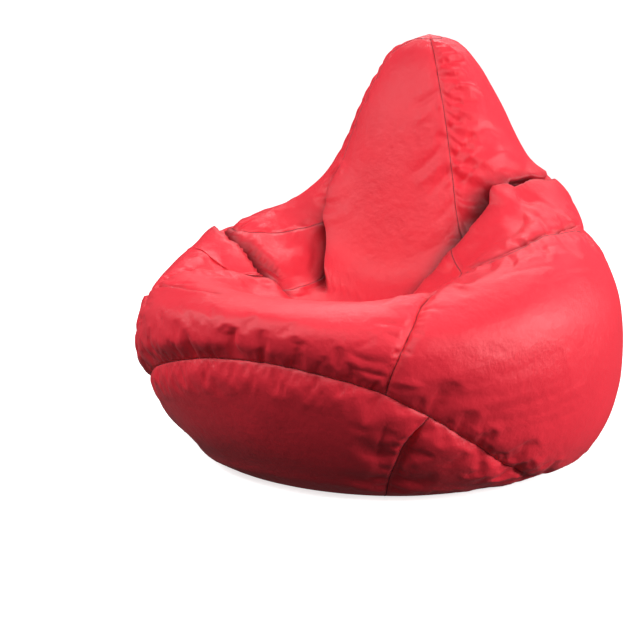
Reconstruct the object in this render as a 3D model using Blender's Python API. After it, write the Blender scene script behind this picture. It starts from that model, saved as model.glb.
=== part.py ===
"""Pear-shaped bean bag chair: a sewn cover of shaped panels on a floor disc and a tip cap, a body of
beads inside it, and a straight zip low in the rear centre seam with its slider and pull.

Metres, +Z up, front towards -Y, the sitter's left towards +X. The origin is on the floor under the middle
of the chair. A point of the bag is named by a girth angle (0 at the front, 90 at +X, 180 at the rear) and
a row (0 under the middle of the base, 20 at the tip)."""

import math

import bmesh
import bpy
import numpy as np

# Layers, from the outside in
COVER = 0.0020  # coated cloth with its seam allowance
FILL_DEPTH = 0.0040  # from the outside of the cover to the beads
FILL_DEPTH_ZIP = 0.0080  # the same behind the zip
SEAM_GAP = 0.0004  # half the gap between two panels
FLOOR_EASE = 0.0004  # the side panels stay this far above the floor, and the disc rests on it

# Sizes of the mesh: columns round the bag and rows up it
CENTRE_COLUMNS = 12
SIDE_COLUMNS = 14
BASE_ROWS = 4
UPPER_ROWS = 9
REAR_ROWS = (4, 5, 6, 6.9, 7, 7.75, 8.5, 9.25, 10)  # rows of the lower panels at the rear seam
LOWER_ROWS = len(REAR_ROWS) - 1
DISC_ROW, MID_REAR_ROW, TOP_ROW = 2.0, 10.0, 19.55

# Zip, in millimetres along it from row 7 upwards, and across it
ZIP_OPENING = 5.6  # half width of the slot that the panels leave
TAPE_ACROSS, TAPE_DEPTH = (5.0, 16.0), (2.5, 3.3)
CHAIN_ALONG, CHAIN_DEPTH = (14.0, 280.0), (0.6, 3.0)
CHAIN_CHANNEL, CHAIN_SPINE, CHAIN_EDGE = 1.3, 3.0, 4.6
TOOTH_PITCH, TOOTH_WIDTH, TOOTH_BEVEL = 7.0, 4.2, 0.5
SLIDER_AT, SLIDER_LENGTH, SLIDER_HALF = 270.0, 14.0, 4.9
PULL_AXIS_DEPTH = -2.3
PULL_LENGTH, PULL_HALF, PULL_THICK = 27.0, 4.0, 1.4

# Outline: y and z at the front, y and z at the rear, half width left and right, z of the left and
# right side, y of the sides. Row 0 and the tip are added to it.
OUTLINE = (
    (-0.180, 0.000, 0.200, 0.000, 0.200, 0.200, 0.000, 0.000, 0.00),  # 1, floor
    (-0.345, 0.000, 0.330, 0.000, 0.340, 0.360, 0.000, 0.000, 0.00),  # 2, edge of the floor disc
    (-0.440, 0.085, 0.410, 0.020, 0.430, 0.415, 0.030, 0.010, 0.00),
    (-0.505, 0.210, 0.465, 0.055, 0.490, 0.460, 0.070, 0.020, 0.00),
    (-0.530, 0.305, 0.510, 0.100, 0.520, 0.500, 0.120, 0.065, 0.00),
    (-0.540, 0.365, 0.547, 0.150, 0.530, 0.530, 0.190, 0.150, 0.00),  # 6, front of the roll
    (-0.530, 0.395, 0.525, 0.245, 0.522, 0.545, 0.275, 0.255, 0.00),  # 7, widest
    (-0.490, 0.410, 0.503, 0.340, 0.503, 0.540, 0.365, 0.370, 0.00),
    (-0.430, 0.415, 0.481, 0.435, 0.474, 0.505, 0.435, 0.450, 0.01),  # 9, top of the roll
    (-0.360, 0.400, 0.459, 0.530, 0.438, 0.460, 0.485, 0.500, 0.03),
    (-0.290, 0.360, 0.437, 0.625, 0.400, 0.410, 0.510, 0.530, 0.05),
    (-0.200, 0.330, 0.415, 0.670, 0.360, 0.360, 0.530, 0.555, 0.08),  # 12, seat
    (-0.070, 0.330, 0.395, 0.710, 0.315, 0.305, 0.555, 0.580, 0.12),  # 13, seat
    (0.020, 0.390, 0.377, 0.755, 0.270, 0.265, 0.600, 0.610, 0.16),
    (0.050, 0.500, 0.358, 0.797, 0.235, 0.235, 0.650, 0.650, 0.18),  # 15, backrest
    (0.075, 0.620, 0.340, 0.835, 0.205, 0.205, 0.710, 0.700, 0.20),
    (0.100, 0.740, 0.320, 0.870, 0.172, 0.170, 0.780, 0.770, 0.20),
    (0.130, 0.840, 0.295, 0.905, 0.135, 0.130, 0.850, 0.845, 0.21),
    (0.165, 0.910, 0.262, 0.932, 0.090, 0.080, 0.912, 0.910, 0.21),  # 19
)
TIP = (0.215, 0.942)

# Seams. Along the two long seams the angle is given by row, and along the others the row by angle.
SEAM_RIGHT = (
    (2, 35), (5.2, 35.5), (7, 37), (9, 38), (10, 40), (11, 45), (12.3, 49), (13, 46.5), (14, 44),
    (15, 41), (16, 38.5), (17, 36), (18, 31), (19, 26), (20, 22),
)
SEAM_LEFT = (
    (2, -42), (7, -42), (9, -43), (10, -44), (11, -45), (11.3, -44), (11.8, -38), (12.3, -32), (12.9, -29),
    (13.4, -29.5), (13.9, -34.5), (14.5, -47), (15, -52), (16, -57), (17, -58), (18, -56), (19, -50), (20, -45),
)
SEAM_BASE = (
    (-180, 4), (-110, 4), (-90, 4.2), (-70, 4.4), (-49, 4.6), (-20, 4.8), (0, 5), (17, 5.1), (35, 5.2),
    (45, 5.1), (58, 4.8), (72, 4.2), (84, 3.7), (100, 3.6), (140, 4), (180, 4),
)
SEAM_MID_RIGHT = (
    (49, 12.3), (61, 11.4), (73, 11.1), (84, 11), (102, 10.6), (120, 10.1), (150, 10), (180, 10),
)
SEAM_MID_LEFT = (
    (-180, 10), (-110, 10), (-90, 10.3), (-78, 11), (-68, 12), (-58, 13.3), (-47, 14.5),
)
CORNER_RIGHT, CORNER_LEFT = (35.5, 12.3), (-42.0, 14.5)  # angle at the base seam, row at the mid seam
GORE_RIGHT, GORE_LEFT = 46.0, -52.0  # where the two base seams leave the base seam ring
FLOOR_ANGLES = ((-180, -180), (-52, -41), (-42, -33), (35.5, 25), (46, 34), (180, 180))


def smooth(x, knots):
    """A curve through the knots that doesn't overshoot them."""
    xs, ys = np.array(knots, float).T
    step = np.diff(xs)
    slope = np.diff(ys) / step
    tangent = np.r_[slope[0], np.zeros(len(slope) - 1), slope[-1]]
    turning = slope[:-1] * slope[1:] > 0
    total = np.where(turning, slope[:-1] + slope[1:], 1)
    tangent[1:-1] = np.where(turning, 2 * slope[:-1] * slope[1:] / total, 0)
    x = np.clip(x, xs[0], xs[-1])
    i = np.clip(np.searchsorted(xs, x, side="right") - 1, 0, len(xs) - 2)
    t, h = (x - xs[i]) / step[i], step[i]
    return (
        ys[i] * (1 + 2 * t) * (1 - t) ** 2
        + tangent[i] * h * t * (1 - t) ** 2
        + ys[i + 1] * t * t * (3 - 2 * t)
        + tangent[i + 1] * h * t * t * (t - 1)
    )


def outline_at(row):
    """The outline's nine numbers at fractional rows, smooth through the listed ones."""
    low = (0, 0, 0, 0, 0, 0, 0, 0, 0)
    high = (TIP[0], TIP[1], TIP[0], TIP[1], 0, 0, TIP[1], TIP[1], TIP[0])
    rows = np.array([low, *OUTLINE, high])
    last = len(rows) - 1
    i = np.clip(np.floor(row).astype(int), 0, last - 1)
    t = (row - i)[..., None]
    a, b, c, d = (rows[np.clip(i + k, 0, last)] for k in (-1, 0, 1, 2))
    bend = 2 * b + (c - a) * t + (2 * a - 5 * b + 4 * c - d) * t**2 + (3 * b - a - 3 * c + d) * t**3
    return np.moveaxis(0.5 * bend, -1, 0)


def surface(angle, row):
    """Points on the outside of the bag."""
    front_y, front_z, rear_y, rear_z, left, right, left_z, right_z, side_y = outline_at(row)
    s, c = np.sin(np.radians(angle)), np.cos(np.radians(angle))
    half = np.where(s > 0, right, left)
    side_z = np.where(s > 0, right_z, left_z)
    end_y, end_z = np.where(c > 0, front_y, rear_y), np.where(c > 0, front_z, rear_z)
    x = half * np.sign(s) * np.abs(s) ** 0.94
    y = side_y + (end_y - side_y) * np.abs(c) ** 0.94
    z = side_z + (end_z - side_z) * np.abs(c) ** 1.6
    return np.stack([x, y, np.maximum(z, 0)], -1)


def normals(angle, row):
    """Unit normals out of the bag."""
    round_it = surface(angle + 1.5, row) - surface(angle - 1.5, row)
    up_it = surface(angle, np.minimum(row + 0.12, 19.9)) - surface(angle, row - 0.12)
    out = np.cross(round_it, up_it)
    return out / np.linalg.norm(out, axis=-1, keepdims=True)


def blend(bottom, top, left, right):
    """Angles and rows inside a four-sided panel from those along its edges (Coons)."""
    s = np.linspace(0, 1, len(bottom))[:, None, None]
    t = np.linspace(0, 1, len(left))[None, :, None]
    across = (1 - t) * bottom[:, None] + t * top[:, None]
    along = (1 - s) * left[None] + s * right[None]
    corners = (
        (1 - s) * (1 - t) * bottom[0] + s * (1 - t) * bottom[-1] + (1 - s) * t * top[0] + s * t * top[-1]
    )
    return across + along - corners


def pairs(angle, row):
    return np.stack(np.broadcast_arrays(angle, row), -1).astype(float)


def layout():
    """Angles and rows of every panel's grid, by panel name. Neighbours share the points of their seam."""
    near, far = 1 / SIDE_COLUMNS, np.linspace(0, 1, SIDE_COLUMNS + 1)
    low_right = np.interp(far, (0, near, 1), (CORNER_RIGHT[0], GORE_RIGHT, 180))
    low_left = np.interp(far, (0, 1 - near, 1), (-180, GORE_LEFT, CORNER_LEFT[0]))
    low_centre = np.linspace(CORNER_LEFT[0], CORNER_RIGHT[0], CENTRE_COLUMNS + 1)
    base = [pairs(a, smooth(a, SEAM_BASE)) for a in (low_left, low_centre, low_right)]

    up = np.linspace(0, 1, LOWER_ROWS + 1)
    seam_low, seam_high = [], []
    for seam, start, corner in (
        (SEAM_LEFT, base[1][0, 1], CORNER_LEFT[1]),
        (SEAM_RIGHT, base[1][-1, 1], CORNER_RIGHT[1]),
    ):
        rows = start + (corner - start) * up
        seam_low.append(pairs(smooth(rows, seam), rows))
        rows = np.linspace(corner, TOP_ROW, UPPER_ROWS + 1)
        seam_high.append(pairs(smooth(rows, seam), rows))
    rear_low = np.array(REAR_ROWS, float)
    rear_high = np.linspace(MID_REAR_ROW, TOP_ROW, UPPER_ROWS + 1)

    mid_left = np.linspace(-180, seam_low[0][-1, 0], SIDE_COLUMNS + 1)
    mid_right = np.linspace(seam_low[1][-1, 0], 180, SIDE_COLUMNS + 1)
    mid = [
        pairs(mid_left, smooth(mid_left, SEAM_MID_LEFT)),
        pairs(mid_right, smooth(mid_right, SEAM_MID_RIGHT)),
    ]
    top = [
        pairs(np.linspace(a, b, n + 1), TOP_ROW)
        for a, b, n in (
            (-180, seam_high[0][-1, 0], SIDE_COLUMNS),
            (seam_high[0][-1, 0], seam_high[1][-1, 0], CENTRE_COLUMNS),
            (seam_high[1][-1, 0], 180, SIDE_COLUMNS),
        )
    ]
    whole = [np.concatenate([low, high[1:]]) for low, high in zip(seam_low, seam_high)]
    panels = {
        "lower_panel_left": blend(base[0], mid[0], pairs(-180, rear_low), seam_low[0]),
        "lower_panel_right": blend(base[2], mid[1], seam_low[1], pairs(180, rear_low)),
        "upper_panel_left": blend(mid[0], top[0], pairs(-180, rear_high), seam_high[0]),
        "upper_panel_right": blend(mid[1], top[2], seam_high[1], pairs(180, rear_high)),
        "centre_panel": blend(base[1], top[1], *whole),
    }
    rim = np.concatenate([base[0], base[1][1:], base[2][1:]])
    disc = pairs(np.interp(rim[:, 0], *np.array(FLOOR_ANGLES, float).T), DISC_ROW)
    t = np.linspace(0, 1, BASE_ROWS + 1)[None, :, None]
    skirt = (1 - t) * disc[:, None] + t * rim[:, None]
    first, last = SIDE_COLUMNS - 1, SIDE_COLUMNS + CENTRE_COLUMNS + 1
    panels["base_left"] = skirt[: first + 1]
    panels["base_front"] = skirt[first : last + 1]
    panels["base_right"] = skirt[last:]
    return panels, skirt, disc, np.concatenate([top[0], top[1][1:], top[2][1:]])


def material(name, colour, roughness, metallic=0.0):
    made = bpy.data.materials.new(name)
    made.use_nodes = True
    shader = made.node_tree.nodes["Principled BSDF"]
    shader.inputs["Base Color"].default_value = (*colour, 1)
    shader.inputs["Roughness"].default_value = roughness
    shader.inputs["Metallic"].default_value = metallic
    return made


def finish(name, bm, look, origin=(0, 0, 0)):
    """Makes the named object from a bmesh in world coordinates, with its origin where it is asked for."""
    bm.normal_update()
    bmesh.ops.recalc_face_normals(bm, faces=bm.faces)
    bmesh.ops.translate(bm, verts=bm.verts, vec=[-value for value in origin])
    mesh = bpy.data.meshes.new(name)
    bm.to_mesh(mesh)
    bm.free()
    mesh.materials.append(look)
    obj = bpy.data.objects.new(name, mesh)
    obj.location = origin
    CHAIR.objects.link(obj)
    return obj


def thicken(bm, inner):
    """Extrudes the whole sheet and moves the copy to inner(vertex)."""
    bmesh.ops.triangulate(bm, faces=bm.faces, quad_method="SHORT_EDGE")
    made = bmesh.ops.extrude_face_region(bm, geom=list(bm.faces))["geom"]
    for vertex in [item for item in made if isinstance(item, bmesh.types.BMVert)]:
        vertex.co = inner(vertex)


def sheet(columns, rows, outer):
    """A grid of the given size with its points moved to the array of positions, and their indices kept."""
    bm = bmesh.new()
    at_column, at_row = (bm.verts.layers.int.new(name) for name in ("column", "row"))
    bmesh.ops.create_grid(bm, x_segments=columns, y_segments=rows, size=1)
    for vertex in bm.verts:
        vertex[at_column] = round((vertex.co.x + 1) * columns / 2)
        vertex[at_row] = round((vertex.co.y + 1) * rows / 2)
        vertex.co = outer[vertex[at_column], vertex[at_row]]
    return bm, lambda vertex: (vertex[at_column], vertex[at_row])


def towards(points, neighbours, distance):
    step = neighbours - points
    return step / np.linalg.norm(step, axis=-1, keepdims=True) * distance


def trimmed(points, gaps):
    """Draws a panel's edges in from its seams: gaps at first and last column, then first and last row."""
    moved = points.copy()
    moved[0] += towards(points[0], points[1], gaps[0])
    moved[-1] += towards(points[-1], points[-2], gaps[1])
    moved[:, 0] += towards(points[:, 0], points[:, 1], gaps[2])
    moved[:, -1] += towards(points[:, -1], points[:, -2], gaps[3])
    return moved


def panel(name, grid, look, first_gap=SEAM_GAP, last_gap=SEAM_GAP):
    points, out = surface(grid[..., 0], grid[..., 1]), normals(grid[..., 0], grid[..., 1])
    points[..., 2] = np.maximum(points[..., 2], FLOOR_EASE)
    inside = points - out * COVER
    inside[..., 2] = np.maximum(inside[..., 2], COVER)
    gaps = (first_gap, last_gap, SEAM_GAP, SEAM_GAP)
    points, inside = trimmed(points, gaps), trimmed(inside, gaps)
    bm, index = sheet(grid.shape[0] - 1, grid.shape[1] - 1, points)
    thicken(bm, lambda vertex: inside[index(vertex)])
    return finish(name, bm, look)


def zip_gap():
    """The lower panels' distance from the rear seam at each row: wide beside the zip."""
    rows = np.array(REAR_ROWS)
    return np.where(rows >= 7, ZIP_OPENING / 1000, SEAM_GAP)[:, None]


def floor_disc(disc, look):
    ring = surface(disc[:-1, 0], disc[:-1, 1])
    ring += towards(ring, np.zeros(3), SEAM_GAP)
    bm = bmesh.new()
    bmesh.ops.create_circle(bm, cap_ends=True, segments=len(ring), radius=1)
    for vertex, point in zip(bm.verts, ring):
        vertex.co = (point[0], point[1], 0)
    made = bmesh.ops.extrude_face_region(bm, geom=list(bm.faces))["geom"]
    raised = [item for item in made if isinstance(item, bmesh.types.BMVert)]
    bmesh.ops.translate(bm, verts=raised, vec=(0, 0, COVER))
    return finish("floor_disc", bm, look)


def tip_cap(top, look):
    """The small round gather that closes the tip, fanned from its middle."""
    tip = np.array((0, *TIP))
    ring, out = surface(top[:-1, 0], top[:-1, 1]), normals(top[:-1, 0], top[:-1, 1])
    inner = ring - out * COVER
    ring, inner = (points + towards(points, tip, SEAM_GAP) for points in (ring, inner))
    bm = bmesh.new()
    at = bm.verts.layers.int.new("at")
    made = bmesh.ops.create_circle(bm, segments=len(ring), radius=1)["verts"]
    for i, vertex in enumerate(made):
        vertex.co, vertex[at] = ring[i], i
    middle = bmesh.ops.create_vert(bm, co=tip)["vert"][0]
    middle[at] = len(ring)
    for edge in list(bm.edges):
        bmesh.ops.contextual_create(bm, geom=[*edge.verts, middle])
    inner = np.concatenate([inner, [tip - (0, 0, COVER)]])
    thicken(bm, lambda vertex: inner[vertex[at]])
    return finish("tip_cap", bm, look)


def bead_fill(panels, skirt, look):
    """One body that follows the inside of the cover, flat where it stands on the floor disc."""
    left = np.concatenate([panels["lower_panel_left"], panels["upper_panel_left"][:, 1:]], axis=1)
    right = np.concatenate([panels["lower_panel_right"], panels["upper_panel_right"][:, 1:]], axis=1)
    sides = np.concatenate([left, panels["centre_panel"][1:], right[1:]])
    grid = np.concatenate([skirt, sides[:, 1:]], axis=1)
    depth = np.full(grid.shape[:2], FILL_DEPTH)
    behind_zip = slice(BASE_ROWS + 2, BASE_ROWS + LOWER_ROWS + 1)
    depth[0, behind_zip] = depth[-1, behind_zip] = FILL_DEPTH_ZIP
    points = surface(grid[..., 0], grid[..., 1]) - normals(grid[..., 0], grid[..., 1]) * depth[..., None]
    points[..., 2] = np.maximum(points[..., 2], FILL_DEPTH)
    points[-1] = points[0]
    points[:, 0, 2] = FILL_DEPTH
    bm, _ = sheet(grid.shape[0] - 1, grid.shape[1] - 1, points)
    bmesh.ops.triangulate(bm, faces=bm.faces, quad_method="SHORT_EDGE")
    bmesh.ops.remove_doubles(bm, verts=bm.verts, dist=1e-5)
    bmesh.ops.holes_fill(bm, edges=bm.edges, sides=0)
    return finish("bead_fill", bm, look)


class Zip:
    """The straight line of the zip, and positions beside it in millimetres."""

    def __init__(self, panels):
        foot, head = surface(np.array([180.0, 180.0]), np.array([7.0, 10.0]))
        foot[0] = head[0] = 0
        self.foot = foot
        self.along = (head - foot) / np.linalg.norm(head - foot)
        self.out = np.cross((1, 0, 0), self.along) * -1
        lower = panels["lower_panel_right"]
        self.seam = surface(lower[-1, 4:, 0], lower[-1, 4:, 1])
        self.beside = surface(lower[-2, 4:, 0], lower[-2, 4:, 1])

    def at(self, across, along, depth):
        """A point of the rigid pieces, which are flat."""
        return self.foot + (np.array((across, 0, 0)) + self.along * along - self.out * depth) / 1000

    def on_cloth(self, across, along, depth):
        """A point that follows the flat facet of the cover beside the seam."""
        place = np.dot(self.seam - self.foot, self.along) * 1000
        slope = towards(self.seam, self.beside, 1.0)
        lean = np.array([np.interp(along, place, slope[:, k]) for k in range(3)])
        mirror = np.array((-1 if across < 0 else 1, 1, 1))
        return self.foot + (lean * mirror * abs(across) + self.along * along - self.out * depth) / 1000


def block(bm, low, high, at):
    """A box from a cube, given by its corners in (across, along, depth), and placed by at()."""
    cube = bmesh.ops.create_cube(bm, size=1)["verts"]
    for vertex in cube:
        share = np.array(vertex.co) + 0.5
        vertex.co = at(*(np.array(low) + (np.array(high) - low) * share))
    return cube


def outline_prism(points, depths, at):
    """A flat shape drawn by its outline in (across, along), between two depths."""
    bm = bmesh.new()
    made = bmesh.ops.create_circle(bm, cap_ends=True, segments=len(points), radius=1)["verts"]
    for vertex, (across, along) in zip(made, points):
        vertex.co = at(across, along, depths[0])
    raised = bmesh.ops.extrude_face_region(bm, geom=list(bm.faces))["geom"]
    drop = at(0, 0, depths[1]) - at(0, 0, depths[0])
    raised = [item for item in raised if isinstance(item, bmesh.types.BMVert)]
    bmesh.ops.translate(bm, verts=raised, vec=drop)
    return bm


def union(target, *others):
    """Joins overlapping blocks to one body and removes the helpers from the render."""
    for other in others:
        CHAIR.objects.unlink(other)
        CUTTERS.objects.link(other)
        other.hide_render = True
        other.display_type = "WIRE"
        joint = target.modifiers.new(f"join {other.name}", "BOOLEAN")
        joint.operation, joint.solver, joint.object = "UNION", "EXACT", other
    return target


def zip_chain(name, side, line, look):
    """A spine along the tape's edge with teeth towards the middle, each side's between the other's."""
    start, end = CHAIN_ALONG
    offset = TOOTH_PITCH * (0.25 if side < 0 else 0.75)
    points = [(CHAIN_EDGE, start), (CHAIN_SPINE, start)]
    tooth = start + offset
    while tooth + TOOTH_WIDTH < end:
        foot, head = tooth, tooth + TOOTH_WIDTH
        points += [(CHAIN_SPINE, foot), (CHAIN_CHANNEL, foot + TOOTH_BEVEL)]
        points += [(CHAIN_CHANNEL, head - TOOTH_BEVEL), (CHAIN_SPINE, head)]
        tooth += TOOTH_PITCH
    points += [(CHAIN_SPINE, end), (CHAIN_EDGE, end)]
    bm = outline_prism([(side * across, along) for across, along in points], CHAIN_DEPTH, line.at)
    return finish(name, bm, look)


def zip_tape(name, side, line, look):
    ends = (8.0, *((line.seam - line.foot) @ line.along * 1000)[1:-1], 287.0)
    across = [side * value for value in TAPE_ACROSS]
    outer, inner = (
        np.array([[line.on_cloth(a, along, depth) for along in ends] for a in across])
        for depth in TAPE_DEPTH
    )
    bm, index = sheet(1, len(ends) - 1, outer)
    thicken(bm, lambda vertex: inner[index(vertex)])
    return finish(name, bm, look)


def zip_slider(line, look):
    """Two plates over and under the chain, a post between them and a bridge that holds the pull."""
    half, low, high = SLIDER_HALF, SLIDER_AT - SLIDER_LENGTH / 2, SLIDER_AT + SLIDER_LENGTH / 2
    shapes = {
        "zip_slider": ((-half, low, -1.2), (half, high, 0.2)),
        "slider_back": ((-half, low, 3.4), (half, high, 4.6)),
        "slider_post": ((-0.8, high - 6, -0.2), (0.8, high - 1, 3.8)),
        "bridge_foot": ((-1.2, SLIDER_AT - 4.0, -4.2), (1.2, SLIDER_AT - 3.2, -0.9)),
        "bridge_head": ((-1.2, SLIDER_AT + 3.2, -4.2), (1.2, SLIDER_AT + 4.0, -0.9)),
        "bridge_top": ((-1.2, SLIDER_AT - 4.0, -4.2), (1.2, SLIDER_AT + 4.0, -3.4)),
    }
    made = []
    for name, (near, far) in shapes.items():
        bm = bmesh.new()
        block(bm, near, far, line.at)
        made.append(finish(name, bm, look, origin=line.at(0, SLIDER_AT, 0)))
    return union(*made)


def zip_pull(line, look):
    """A tab whose top bar runs under the bridge, with a window for the bridge's foot."""
    top, bottom = SLIDER_AT + 0.7, SLIDER_AT - PULL_LENGTH
    near, far = PULL_AXIS_DEPTH - PULL_THICK / 2, PULL_AXIS_DEPTH + PULL_THICK / 2
    neck = PULL_HALF - 0.8
    taper = [(neck, top), (neck, SLIDER_AT - 8), (PULL_HALF, bottom + 5), (PULL_HALF - 1.5, bottom)]
    outline = taper + [(-across, along) for across, along in reversed(taper)]
    hinge = line.at(0, SLIDER_AT, PULL_AXIS_DEPTH)
    body = finish("zip_pull", outline_prism(outline, (near, far), line.at), look, origin=hinge)
    bm = bmesh.new()
    block(bm, (-1.9, SLIDER_AT - 5.4, near - 1), (1.9, SLIDER_AT - 0.7, far + 1), line.at)
    window = finish("pull_window", bm, look)
    CHAIR.objects.unlink(window)
    CUTTERS.objects.link(window)
    window.hide_render, window.display_type = True, "WIRE"
    cut = body.modifiers.new("window", "BOOLEAN")
    cut.operation, cut.solver, cut.object = "DIFFERENCE", "EXACT", window
    return body


def zip_stop(name, low, high, line, look):
    bm = bmesh.new()
    block(bm, (-CHAIN_EDGE, low, CHAIN_DEPTH[0]), (CHAIN_EDGE, high, CHAIN_DEPTH[1]), line.at)
    return finish(name, bm, look)


def care_label(line, look):
    """A blank strip of tape that hangs out of the mid seam beside the zip."""
    bm = bmesh.new()
    block(bm, (28.0, 232.0, -2.4), (56.0, 287.0, -1.6), line.on_cloth)
    return finish("care_label", bm, look)


for leftover in list(bpy.data.objects):
    bpy.data.objects.remove(leftover)
CHAIR, CUTTERS = (bpy.data.collections.new(name) for name in ("bean_bag_chair", "cutters"))
for collection in (CHAIR, CUTTERS):
    bpy.context.scene.collection.children.link(collection)
CUTTERS.hide_render = True


def main():
    panels, skirt, disc, top = layout()
    cloth = {name: material(name, (0.75, 0.045, 0.07), 0.45) for name in panels}
    for name, grid in panels.items():
        gaps = {}
        if name == "centre_panel":
            gaps["first_gap"] = 2 * SEAM_GAP
        elif name == "lower_panel_left":
            gaps["first_gap"], gaps["last_gap"] = zip_gap(), 2 * SEAM_GAP
        elif name == "lower_panel_right":
            gaps["last_gap"] = zip_gap()
        panel(name, grid, cloth[name], **gaps)
    floor_disc(disc, material("floor_disc", (0.60, 0.035, 0.055), 0.6))
    tip_cap(top, material("tip_cap", (0.70, 0.04, 0.065), 0.5))
    bead_fill(panels, skirt, material("bead_fill", (0.93, 0.93, 0.92), 0.7))

    line = Zip(panels)
    metal, nylon = (0.60, 0.60, 0.62), (0.45, 0.03, 0.045)
    for side, word in ((-1, "left"), (1, "right")):
        zip_tape(f"zip_tape_{word}", side, line, material(f"zip_tape_{word}", nylon, 0.7))
        zip_chain(f"zip_chain_{word}", side, line, material(f"zip_chain_{word}", (0.35, 0.02, 0.03), 0.4))
    zip_slider(line, material("zip_slider", metal, 0.35, 1.0))
    zip_pull(line, material("zip_pull", metal, 0.35, 1.0))
    zip_stop("zip_stop_upper", 282.0, 288.0, line, material("zip_stop_upper", metal, 0.4, 1.0))
    zip_stop("zip_stop_lower", 6.0, 13.0, line, material("zip_stop_lower", metal, 0.4, 1.0))
    care_label(line, material("care_label", (0.9, 0.9, 0.88), 0.7))


main()
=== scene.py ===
"""Looks of the pear-shaped bean bag chair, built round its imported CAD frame.

The cover is worked out on the same girth angles and rows as the CAD panels: angle 0 is the front, 90 the
+X side and 180 the rear, row 0 lies under the middle of the base and row 20 is the tip. A Cloth simulation
of the sewn cover gives the slack, folds drawn along routes in (angle, row) give the large creases, and
every seam gets its valley, puckers and stitches."""

import itertools
import math

import bmesh
import bpy
import numpy as np
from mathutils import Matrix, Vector, kdtree


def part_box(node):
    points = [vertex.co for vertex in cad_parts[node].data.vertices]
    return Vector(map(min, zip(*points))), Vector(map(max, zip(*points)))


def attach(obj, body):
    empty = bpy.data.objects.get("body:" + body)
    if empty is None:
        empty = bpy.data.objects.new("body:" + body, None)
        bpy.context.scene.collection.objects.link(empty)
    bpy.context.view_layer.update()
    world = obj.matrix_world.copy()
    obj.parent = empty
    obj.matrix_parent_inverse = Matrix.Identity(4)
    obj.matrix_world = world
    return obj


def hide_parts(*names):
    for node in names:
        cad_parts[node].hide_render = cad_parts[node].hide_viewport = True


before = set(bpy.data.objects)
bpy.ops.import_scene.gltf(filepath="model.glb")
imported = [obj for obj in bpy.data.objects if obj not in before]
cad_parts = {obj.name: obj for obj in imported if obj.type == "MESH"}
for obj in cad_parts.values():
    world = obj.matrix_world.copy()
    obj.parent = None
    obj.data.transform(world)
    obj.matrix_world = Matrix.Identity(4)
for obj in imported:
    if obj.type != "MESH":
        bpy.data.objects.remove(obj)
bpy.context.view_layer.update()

MM = 0.001

# Camera, in metres round the middle of the chair
CAMERA_AZIMUTH, CAMERA_PITCH = 35.0, 10.87
CAMERA_BACK, CAMERA_LEFT, CAMERA_HEIGHT = 3.345, 0.129, 0.946
CAMERA_LENS = 84.4

# Outline of the bag: y and z at the front, y and z at the rear, half width left and right, z of the left
# and right side, y of the sides, for rows 1 to 19
OUTLINE = (
    (-0.180, 0.000, 0.200, 0.000, 0.200, 0.200, 0.000, 0.000, 0.00),
    (-0.345, 0.000, 0.330, 0.000, 0.340, 0.360, 0.000, 0.000, 0.00),
    (-0.440, 0.085, 0.410, 0.020, 0.430, 0.415, 0.030, 0.010, 0.00),
    (-0.505, 0.210, 0.465, 0.055, 0.490, 0.460, 0.070, 0.020, 0.00),
    (-0.530, 0.305, 0.510, 0.100, 0.520, 0.500, 0.120, 0.065, 0.00),
    (-0.540, 0.365, 0.547, 0.150, 0.530, 0.530, 0.190, 0.150, 0.00),
    (-0.530, 0.395, 0.525, 0.245, 0.522, 0.545, 0.275, 0.255, 0.00),
    (-0.490, 0.410, 0.503, 0.340, 0.503, 0.540, 0.365, 0.370, 0.00),
    (-0.430, 0.415, 0.481, 0.435, 0.474, 0.505, 0.435, 0.450, 0.01),
    (-0.360, 0.400, 0.459, 0.530, 0.438, 0.460, 0.485, 0.500, 0.03),
    (-0.290, 0.360, 0.437, 0.625, 0.400, 0.410, 0.510, 0.530, 0.05),
    (-0.200, 0.330, 0.415, 0.670, 0.360, 0.360, 0.530, 0.555, 0.08),
    (-0.070, 0.330, 0.395, 0.710, 0.315, 0.305, 0.555, 0.580, 0.12),
    (0.020, 0.390, 0.377, 0.755, 0.270, 0.265, 0.600, 0.610, 0.16),
    (0.050, 0.500, 0.358, 0.797, 0.235, 0.235, 0.650, 0.650, 0.18),
    (0.075, 0.620, 0.340, 0.835, 0.205, 0.205, 0.710, 0.700, 0.20),
    (0.100, 0.740, 0.320, 0.870, 0.172, 0.170, 0.780, 0.770, 0.20),
    (0.130, 0.840, 0.295, 0.905, 0.135, 0.130, 0.850, 0.845, 0.21),
    (0.165, 0.910, 0.262, 0.932, 0.090, 0.080, 0.912, 0.910, 0.21),
)
TIP = (0.215, 0.942)

# Seams. Along the two long seams the angle is given by row, and along the others the row by angle.
SEAM_RIGHT = (
    (2, 35), (5.2, 35.5), (7, 37), (9, 38), (10, 40), (11, 45), (12.3, 49), (13, 46.5), (14, 44),
    (15, 41), (16, 38.5), (17, 36), (18, 31), (19, 26), (20, 22),
)
SEAM_LEFT = (
    (2, -42), (7, -42), (9, -43), (10, -44), (11, -45), (11.3, -44), (11.8, -38), (12.3, -32),
    (12.9, -29), (13.4, -29.5), (13.9, -34.5), (14.5, -47), (15, -52), (16, -57), (17, -58), (18, -56),
    (19, -50), (20, -45),
)
SEAM_BASE = (
    (-180, 4), (-110, 4), (-90, 4.2), (-70, 4.4), (-49, 4.6), (-20, 4.8), (0, 5), (17, 5.1), (35, 5.2),
    (45, 5.1), (58, 4.8), (72, 4.2), (84, 3.7), (100, 3.6), (140, 4), (180, 4),
)
SEAM_MID_RIGHT = (
    (49, 12.3), (61, 11.4), (73, 11.1), (84, 11), (102, 10.6), (120, 10.1), (150, 10), (180, 10),
)
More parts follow.
